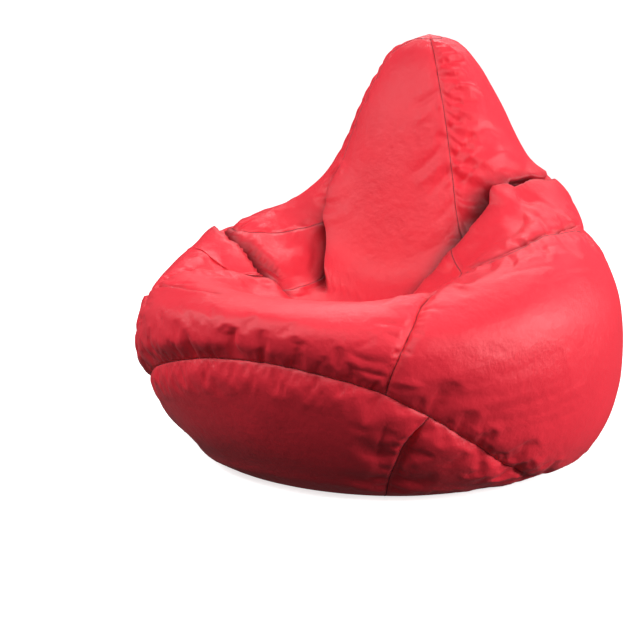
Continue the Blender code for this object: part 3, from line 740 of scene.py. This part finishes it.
def stitches(line, out):
    """Rings of points of short thread stitches along a line: (stitches, rings, around, 3)."""
    travel = np.r_[0, np.cumsum(np.linalg.norm(np.diff(line, axis=0), axis=1))]
    count = int(travel[-1] / STITCH_PITCH)
    rings = np.array(((-0.5, 0.2), (-0.36, 1.0), (0.36, 1.0), (0.5, 0.2)))  # share of the length, thickness
    at = (np.arange(count)[:, None] + 0.5) * STITCH_PITCH + rings[:, 0] * STITCH_LENGTH
    middle, up = (
        np.stack([np.interp(at, travel, item[:, k]) for k in range(3)], -1) for item in (line, out)
    )
    ahead = unit(np.gradient(middle, axis=1))
    side = unit(np.cross(ahead, up))
    turn = np.linspace(0, 2 * np.pi, 6, endpoint=False)[:, None]
    round_it = np.cos(turn) * side[:, :, None] + np.sin(turn) * np.cross(side, ahead)[:, :, None]
    return middle[:, :, None] + round_it * rings[:, 1][None, :, None, None] * THREAD


def stitching(name, lines, look):
    points, faces, start = [], [], 0
    for line, out in lines:
        made = stitches(line, out)
        count, rings, around = made.shape[:3]
        if not count:
            continue
        index = start + np.arange(count * rings * around).reshape(count, rings, around)
        for k in range(around):
            n = (k + 1) % around
            sides = np.stack([index[:, :-1, k], index[:, :-1, n], index[:, 1:, n], index[:, 1:, k]], -1)
            faces += [tuple(face) for face in sides.reshape(-1, 4).tolist()]
        faces += [tuple(face) for face in index[:, 0].tolist()]
        faces += [tuple(face[::-1]) for face in index[:, -1].tolist()]
        points.append(made.reshape(-1, 3))
        start += count * rings * around
    return mesh_object(name, np.concatenate(points), faces, look)


def seam_lines(shaped):
    """The sewn edges of the cover, by the name of the thread that sews them."""
    def edge(name, where):
        points, grid = shaped[name][:2]
        out = normals_at(grid[..., 0], np.minimum(grid[..., 1], 19.9))
        return points[where], out[where]

    left, right, bottom, top = np.s_[0], np.s_[-1], np.s_[:, 0], np.s_[:, -1]
    below_zip = shaped["lower_panel_right"][1][-1, :, 1] < ZIP_ROWS[0] - ZIP_END
    return {
        "thread_left_seam": [edge("centre_panel", left)],
        "thread_right_seam": [edge("centre_panel", right)],
        "thread_base_seam": [
            edge(name, bottom) for name in ("lower_panel_left", "centre_panel", "lower_panel_right")
        ],
        "thread_mid_seams": [edge(f"lower_panel_{side}", top) for side in ("left", "right")],
        "thread_rear_seam": [edge("lower_panel_right", (-1, below_zip)), edge("upper_panel_right", right)],
        "thread_gore_seams": [edge("base_front", left), edge("base_front", right)],
        "thread_tip_seam": [edge("tip_cap", bottom)],
    }


def lowest_near(field, reach):
    """The smallest value within reach cells of each point of a grid."""
    low = np.pad(field, reach, mode="edge")
    low = np.min([low[k : k + field.shape[0]] for k in range(2 * reach + 1)], axis=0)
    return np.min([low[:, k : k + field.shape[1]] for k in range(2 * reach + 1)], axis=0)


BEAD_DEPTH, BEAD_FOOT = 7, 4 * MM  # mm under the cover, and height of the flat underside


def bead_body(shaped, look):
    """The beads: a closed body that keeps just inside the finished cover, flat underneath."""
    cell, reach = 2, 4
    flat, grids = welded({name: grid[::cell, ::cell] for name, (_, grid, _, _) in shaped.items()})
    base, out = surface(flat[:, 0], flat[:, 1]), normals_at(flat[:, 0], np.minimum(flat[:, 1], 19.9))
    height = np.ones(len(flat))
    for name, (place, grid, _, _) in shaped.items():
        row = np.minimum(grid[..., 1], LAST_ROW)
        raised = ((place - surface(grid[..., 0], row)) * normals_at(grid[..., 0], row)).sum(-1)
        np.minimum.at(height, grids[name], lowest_near(raised, reach)[::cell, ::cell])
    points = base + out * (height - (BEAD_DEPTH + 0.8 * noise(base, 0.009, 80)) * MM)[:, None]
    points[:, 2] = np.maximum(points[:, 2], BEAD_FOOT)
    faces = [face for grid in grids.values() for face in quads(grid)]
    obj = mesh_object("beads", points, faces, look)
    bm = bmesh.new()
    bm.from_mesh(obj.data)
    ring = [edge for edge in bm.edges if edge.is_boundary]
    made = bmesh.ops.edgeloop_fill(bm, edges=ring)["faces"]
    bmesh.ops.poke(bm, faces=made)
    bm.to_mesh(obj.data)
    bm.free()
    return obj


def base_disc(shaped, look):
    """The floor disc with its stitched border, pressed flat by the weight on it."""
    ring = np.concatenate([shaped[name][0][:-1, 0] for name in ("base_left", "base_front", "base_right")])
    ring = ring * (1, 1, 0)
    shares = np.array((0.0, 0.25, 0.5, 0.7, 0.85, 0.93, 0.965, 0.985, 0.995))
    grid = ring[:, None] * shares[None, :, None]
    rim = np.exp(-((1 - shares) / 0.02) ** 2)
    gathers = noise(ring, 0.02, 90)[:, None] * rim * 0.35 * MM
    top, bottom = grid + 0, grid + 0
    top[..., 2] = 1.6 * MM + gathers + noise(grid, 0.05, 91) * 0.3 * MM
    bottom[..., 2] = 0.1 * MM
    whole = np.concatenate([bottom, top[:, ::-1]], axis=1)
    columns, rows = whole.shape[:2]
    index = np.arange(columns * rows).reshape(columns, rows)
    index[:, 0], index[:, -1] = index[0, 0], index[0, -1]
    index = np.concatenate([index, index[:1]])
    obj = mesh_object("floor_disc_cloth", whole.reshape(-1, 3), quads(index, flip=True), look)
    bm = bmesh.new()
    bm.from_mesh(obj.data)
    bmesh.ops.delete(bm, geom=[vertex for vertex in bm.verts if not vertex.link_faces], context="VERTS")
    bmesh.ops.recalc_face_normals(bm, faces=bm.faces)
    bm.to_mesh(obj.data)
    bm.free()
    return obj


def label_tape(shaped, look):
    """The blank care label: a strip of satin tape that hangs out of the mid seam, over the cloth."""
    low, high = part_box("care_label")
    cloth = shaped["lower_panel_right" if low.x + high.x > 0 else "lower_panel_left"][0]
    rear = cloth[cloth[..., 1] > 0.2]
    tree = search_tree(rear * (1, 0, 1))
    seam = cloth[:, -1][cloth[:, -1, 1] > 0.2]
    seam = seam[np.argsort(seam[:, 0])]

    def cloth_y(x, z):
        found = tree.find_n((x, 0, z), 6)
        near = [1 / (distance + MM) for _, _, distance in found]
        return np.average([rear[i][1] for _, i, _ in found], weights=near)

    across = np.linspace(low.x, high.x, 14)[:, None]
    down = np.linspace(0, 1, 34)[None, :]
    top = np.interp(across, seam[:, 0], seam[:, 2]) - 1 * MM
    z = top - down * (top - low.z)
    curl = (1.3 + 2.5 * down**2 + 0.8 * np.sin(across * 260 + down * 4) * down) * MM
    y = np.vectorize(cloth_y)(across + 0 * z, z) + curl
    obj = grid_object("care_label_tape", np.stack(np.broadcast_arrays(across, y, z), -1)[::-1], look)
    thick = obj.modifiers.new("cloth thickness", "SOLIDIFY")
    thick.thickness, thick.offset = 0.5 * MM, 0
    return obj


# -------- materials


class Nodes:
    """A node tree's maker: add() places a node, sets its sockets and links the ones given as sockets."""

    def __init__(self, name):
        self.material = bpy.data.materials.new(name)
        self.material.use_nodes = True
        self.tree = self.material.node_tree
        self.shader = self.tree.nodes["Principled BSDF"]
        self.place = self.add("ShaderNodeTexCoord")["Object"]

    def finish(self, tone, rough, normal, others=None):
        """The material, with these values on its shader."""
        self.set(self.shader, {"Base Color": tone, "Roughness": rough, "Normal": normal})
        self.set(self.shader, others or {})
        return self.material

    def set(self, node, sockets):
        for key, value in sockets.items():
            socket = node.inputs[key]
            if isinstance(value, bpy.types.NodeSocket):
                self.tree.links.new(value, socket)
            else:
                socket.default_value = value

    def add(self, kind, sockets=None, **settings):
        node = self.tree.nodes.new(kind)
        for key, value in settings.items():
            setattr(node, key, value)
        self.set(node, sockets or {})
        return node.outputs

    def math(self, operation, a, b=0.0):
        return self.add("ShaderNodeMath", {0: a, 1: b}, operation=operation)[0]

    def scaled(self, value, times, plus):
        return self.math("ADD", self.math("MULTIPLY", value, times), plus)

    def mix(self, share, a, b):
        return self.add("ShaderNodeMix", {0: share, 6: a, 7: b}, data_type="RGBA")[2]

    def noise(self, vector, scale, detail=3.0, roughness=0.5):
        sockets = {"Vector": vector, "Scale": scale, "Detail": detail, "Roughness": roughness}
        return self.add("ShaderNodeTexNoise", sockets)["Fac"]

    def ramp(self, value, low, high):
        """The value spread from low..high to 0..1."""
        sockets = {"Value": value, "From Min": low, "From Max": high}
        return self.add("ShaderNodeMapRange", sockets)["Result"]

    def bump(self, height, distance, strength=1.0, normal=None):
        sockets = {"Height": height, "Distance": distance, "Strength": strength}
        if normal is not None:
            sockets["Normal"] = normal
        return self.add("ShaderNodeBump", sockets)["Normal"]


def shade(colour, times):
    return (*(min(1.0, channel * times) for channel in colour), 1)


def weave(n, pitch):
    """Height of a plain weave with this many metres from thread to thread."""
    uv = n.add("ShaderNodeUVMap", uv_map="weave")["UV"]
    threads = []
    for direction in ("X", "Y"):
        sockets = {"Vector": uv, "Scale": math.pi / 10 / pitch, "Distortion": 0.0}
        threads.append(n.add("ShaderNodeTexWave", sockets, bands_direction=direction)["Fac"])
    return n.math("MULTIPLY", *threads)


def coated_cloth(name, colour, roughness, pitch=1.0 * MM, seams=True):
    """Closely woven synthetic cloth with a thin coating, a soft sheen and faint crinkles; with seams, also
    paler wear beside the seams and shade painted into the laps' folds.
    """
    n = Nodes(name)
    patches = n.noise(n.place, 5.0, 2.0)
    crinkle = n.noise(n.place, 45.0, 4.0, 0.6)
    fibres = n.noise(n.place, 900.0, 2.0)
    threads = weave(n, pitch)
    tone = n.mix(n.ramp(patches, 0.35, 0.65), shade(colour, 0.94), shade(colour, 1.04))
    tone = n.mix(n.math("MULTIPLY", n.ramp(threads, 0.0, 1.0), 0.12), tone, shade(colour, 0.72))
    if seams:
        gap = n.add("ShaderNodeAttribute", attribute_name="seam_gap")["Fac"]
        worn = n.math("MULTIPLY", n.ramp(gap, 9.0, 2.0), n.ramp(fibres, 0.45, 0.65))
        tone = n.mix(n.math("MULTIPLY", worn, 0.22), tone, shade([c * 0.7 + 0.25 for c in colour], 1.0))
        # painted shade: the cloth's colour is pulled towards 8 % of itself inside the laps' grooves, where
        # shade falls
        painted_fold_shade = n.add("ShaderNodeAttribute", attribute_name="fold")["Fac"]
        tone = n.mix(n.math("MULTIPLY", painted_fold_shade, 0.95), tone, shade(colour, 0.08))
    rough = n.scaled(patches, 0.10, roughness - 0.05)
    rough = n.math("ADD", rough, n.math("MULTIPLY", fibres, 0.05))
    slubs = n.noise(n.place, 260.0, 3.0, 0.7)
    normal = n.bump(crinkle, 3.0 * MM, 0.65)
    normal = n.bump(slubs, 0.35 * MM, 0.6, normal)
    normal = n.bump(threads, 0.15 * MM, 0.6, normal)
    sheen = {"Sheen Weight": 0.06, "Sheen Roughness": 0.4, "Sheen Tint": (1.0, 0.62, 0.66, 1)}
    return n.finish(tone, rough, normal, {"Specular IOR Level": 0.3, **sheen})


def thread_look(name, colour):
    n = Nodes(name)
    fuzz = n.noise(n.place, 1500.0, 2.0)
    tone = n.mix(fuzz, shade(colour, 0.7), shade(colour, 1.3))
    return n.finish(tone, 0.75, n.bump(fuzz, 0.2 * MM, 0.6))


def bead_look():
    """White expanded beads of about 5 mm, packed close, each with its own tone."""
    n = Nodes("beads_look")
    cells = n.add("ShaderNodeTexVoronoi", {"Vector": n.place, "Scale": 200.0})
    hump = n.math("SUBTRACT", 1.0, cells["Distance"])
    tone = n.mix(n.noise(cells["Position"], 90.0), (0.78, 0.78, 0.76, 1), (0.95, 0.95, 0.94, 1))
    return n.finish(tone, n.scaled(hump, 0.2, 0.5), n.bump(hump, 2.5 * MM))


def tape_look(name, colour, rib):
    """Woven tape with ribs across it."""
    n = Nodes(name)
    sockets = {"Vector": n.place, "Scale": math.pi / 10 / rib}
    ribs = n.add("ShaderNodeTexWave", sockets, bands_direction="Z")["Fac"]
    fibres = n.noise(n.place, 1200.0)
    tone = n.mix(n.math("MULTIPLY", ribs, fibres), shade(colour, 0.75), shade(colour, 1.15))
    return n.finish(tone, n.scaled(fibres, 0.2, 0.55), n.bump(ribs, 0.2 * MM, 0.8))


def moulded_look(name, colour):
    n = Nodes(name)
    grain = n.noise(n.place, 700.0)
    tone = n.mix(n.noise(n.place, 60.0), shade(colour, 0.85), shade(colour, 1.1))
    return n.finish(tone, n.scaled(grain, 0.15, 0.32), n.bump(grain, 0.05 * MM, 0.5))


def metal_look(name):
    """Satin plated metal with fine brush lines and duller, slightly darker patches."""
    n = Nodes(name)
    sockets = {0: n.place, 1: (1.0, 12.0, 12.0)}
    stretched = n.add("ShaderNodeVectorMath", sockets, operation="MULTIPLY")["Vector"]
    lines, patches = n.noise(stretched, 600.0, 4.0), n.noise(n.place, 220.0, 2.0)
    tone = n.mix(patches, (0.48, 0.48, 0.50, 1), (0.70, 0.70, 0.71, 1))
    rough, normal = n.scaled(patches, 0.2, 0.22), n.bump(lines, 0.03 * MM, 0.5)
    return n.finish(tone, rough, normal, {"Metallic": 1.0})


# -------- stage, lights and camera

FLOOR_GLOW, WORLD = 0.75, 0.08
LIGHT_AIM, LIGHT_DISTANCE = 0.45, 3.6  # height that the lights look at, and metres from there
# name, watts, size in metres, azimuth from the camera and elevation
LIGHTS = (
    ("key", 96, 1.4, 58, 18),
    ("front left", 62, 1.6, -44, 40),
    ("front", 20, 1.4, 0, 60),
    ("right", 48, 1.4, 86, 10),
    ("left", 42, 1.4, -92, 28),
    ("rear", 44, 1.4, 182, 50),
    ("rear right", 28, 1.4, 135, 50),
)


def camera():
    turn, tip = math.radians(CAMERA_AZIMUTH), math.radians(CAMERA_PITCH)
    ahead = Vector((-math.sin(turn), math.cos(turn), 0))
    right = Vector((math.cos(turn), math.sin(turn), 0))
    gaze = ahead * math.cos(tip) - Vector((0, 0, math.sin(tip)))
    made = bpy.data.objects.new("camera", bpy.data.cameras.new("camera"))
    made.location = -right * CAMERA_LEFT - ahead * CAMERA_BACK + Vector((0, 0, CAMERA_HEIGHT))
    made.rotation_euler = gaze.to_track_quat("-Z", "Y").to_euler()
    made.data.lens, made.data.sensor_width = CAMERA_LENS, 36
    bpy.context.scene.collection.objects.link(made)
    bpy.context.scene.camera = made


def studio_floor():
    """A pale round floor that curves up far away on all sides."""
    flat, rise, bend = 8.0, 7.0, 2.5
    profile = [(0.0, 0.0), (1.0, 0.0), (3.0, 0.0), (flat, 0.0)]
    for k in range(1, 9):
        turn = math.pi / 2 * k / 8
        profile.append((flat + bend * math.sin(turn), bend * (1 - math.cos(turn))))
    profile.append((flat + bend, rise))
    around = np.linspace(0, 2 * np.pi, 64, endpoint=False)
    points = np.array([[(r * math.cos(a), r * math.sin(a), z) for r, z in profile] for a in around])
    index = np.arange(points.shape[0] * points.shape[1]).reshape(points.shape[:2])
    index[:, 0] = index[0, 0]
    index = np.concatenate([index, index[:1]])
    n = Nodes("studio_white")
    tone = n.mix(n.noise(n.place, 0.5), (0.86, 0.86, 0.86, 1), (0.9, 0.9, 0.9, 1))
    n.set(n.shader, {"Base Color": tone, "Roughness": 0.9, "Specular IOR Level": 0.1})
    away = n.add("ShaderNodeVectorMath", {0: n.place}, operation="LENGTH")["Value"]
    glow = n.math("ADD", n.math("MULTIPLY", n.ramp(away, 1.0, 3.0), 1 - FLOOR_GLOW), FLOOR_GLOW)
    n.set(n.shader, {"Emission Color": (1, 1, 1, 1), "Emission Strength": glow})
    obj = mesh_object("studio_floor", points.reshape(-1, 3), quads(index), n.material)
    obj.visible_diffuse = obj.visible_glossy = False  # the photo's floor throws hardly any light back up


def area_light(name, watts, size, azimuth, elevation):
    """A square light that looks at the chair: azimuth is from the camera to the right, in degrees."""
    light = bpy.data.lights.new(name, "AREA")
    light.energy, light.size = watts, size
    turn, up = math.radians(azimuth - 90 + CAMERA_AZIMUTH), math.radians(elevation)
    away = Vector((math.cos(turn) * math.cos(up), math.sin(turn) * math.cos(up), math.sin(up)))
    made = bpy.data.objects.new(name, light)
    made.location = Vector((0, 0, LIGHT_AIM)) + away * LIGHT_DISTANCE
    made.rotation_euler = (-away).to_track_quat("-Z", "Y").to_euler()
    bpy.context.scene.collection.objects.link(made)


def studio():
    world = bpy.data.worlds.new("studio")
    world.use_nodes = True
    background = world.node_tree.nodes["Background"]
    background.inputs["Color"].default_value = (1, 1, 1, 1)
    background.inputs["Strength"].default_value = WORLD
    scene = bpy.context.scene
    scene.world = world
    scene.view_settings.view_transform = "Standard"
    for light in LIGHTS:
        area_light(*light)


# -------- the scene

RED, BASE_RED = (0.86, 0.030, 0.052), (0.66, 0.028, 0.044)
TAPE_RED, TEETH_RED = (0.5, 0.03, 0.045), (0.4, 0.02, 0.03)
THREAD_GREY = (0.05, 0.045, 0.05)


def main():
    camera()
    studio_floor()
    studio()
    cover_look = coated_cloth("cover_cloth_look", RED, 0.38)
    base_look = coated_cloth("base_cloth_look", BASE_RED, 0.6, 1.4 * MM, seams=False)
    thread = thread_look("seam_thread_look", THREAD_GREY)

    shaped = cover_shape()
    for name, (points, grid, gap, inside) in shaped.items():
        edges = "b" if name == "tip_cap" else EDGES
        cut = hemmed(points, normals_at(grid[..., 0], np.minimum(grid[..., 1], LAST_ROW)), edges)
        widths = [[int(edge in edges) for edge in pair] for pair in ("lr", "bt")]
        # the fold field carries the shade painted into the laps' grooves
        fields = {"seam_gap": np.pad(gap, widths, mode="edge"), "fold": np.pad(inside, widths, mode="edge")}
        piece = grid_object(f"{name}_cloth", cut, cover_look, fields)
        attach(piece, "bag")
        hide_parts(name)
    for name, lines in seam_lines(shaped).items():
        piece = stitching(name, lines, thread)
        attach(piece, "bag")
    for piece, node, slot in (
        (bead_body(shaped, bead_look()), "bead_fill", "beads"),
        (base_disc(shaped, base_look), "floor_disc", "base_cloth"),
        (label_tape(shaped, tape_look("label_look", (0.9, 0.9, 0.88), 0.6 * MM)), "care_label", "label"),
    ):
        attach(piece, "bag")
        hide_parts(node)

    looks = {
        "zip_tape": tape_look("zip_tape_look", TAPE_RED, 0.7 * MM),
        "zip_chain": moulded_look("zip_teeth_look", TEETH_RED),
        "zip_slider": metal_look("zip_metal_look"),
    }
    looks["zip_pull"] = looks["zip_stop"] = looks["zip_slider"]
    for name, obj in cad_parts.items():
        for start, look in looks.items():
            if name.startswith(start):
                obj.data.materials.clear()
                obj.data.materials.append(look)


main()
